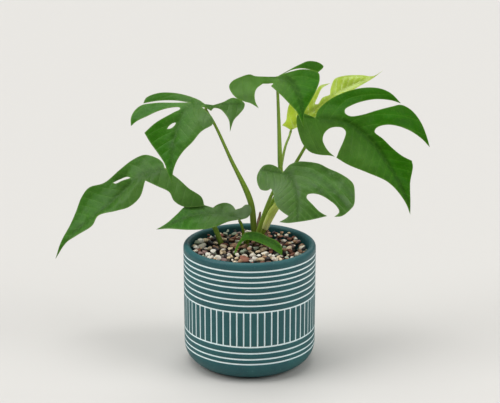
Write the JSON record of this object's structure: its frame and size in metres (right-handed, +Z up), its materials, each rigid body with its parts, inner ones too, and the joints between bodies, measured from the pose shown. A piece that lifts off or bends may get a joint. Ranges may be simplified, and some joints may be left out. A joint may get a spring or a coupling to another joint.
{
  "type": "potted mini monstera plant",
  "caption": "Young split-leaf climbing aroid in a round ceramic pot with pale lines, its soil topped with small mixed stones.",
  "frame": {"origin": "centre of the flat underside of the pot, on the surface it stands on", "axes": "+Z up along the pot's axis, -Y towards the front the plant faces, +X to the right seen from the front"},
  "size_m": [0.3834, 0.1502, 0.3049],
  "materials": {
    "pot_glaze": "matt teal ceramic glaze with pale painted lines",
    "soil": "damp dark potting soil",
    "stones": "mixed small natural stones, dry and matt",
    "stem_skin": "green living stem, slightly waxy",
    "stalk": "smooth waxy green leaf stalk",
    "stalk_young": "smooth pale young leaf stalk",
    "leaf": "deep green satin leaf with a soft sheen",
    "leaf_young": "lime green glossy young leaf",
    "sheath": "pale green thin sheath",
    "dried_sheath": "brown papery dried sheath"
  },
  "bodies": {
    "root": {"pot": "pot_glaze", "potting_soil": "soil", "gravel": "stones", "stem": "stem_skin", "petiole_far_left": "stalk", "petiole_mid_left": "stalk", "petiole_low_left": "stalk", "petiole_small": "stalk", "petiole_front": "stalk", "petiole_top": "stalk", "petiole_young": "stalk_young", "petiole_right": "stalk", "blade_far_left": "leaf", "blade_mid_left": "leaf", "blade_low_left": "leaf", "blade_small": "leaf", "blade_front": "leaf", "blade_top": "leaf", "blade_young": "leaf_young", "blade_right": "leaf", "leaf_sheath": "sheath", "dried_sheath_tall": "dried_sheath", "dried_sheath_short": "dried_sheath"}
  },
  "joints": []
}
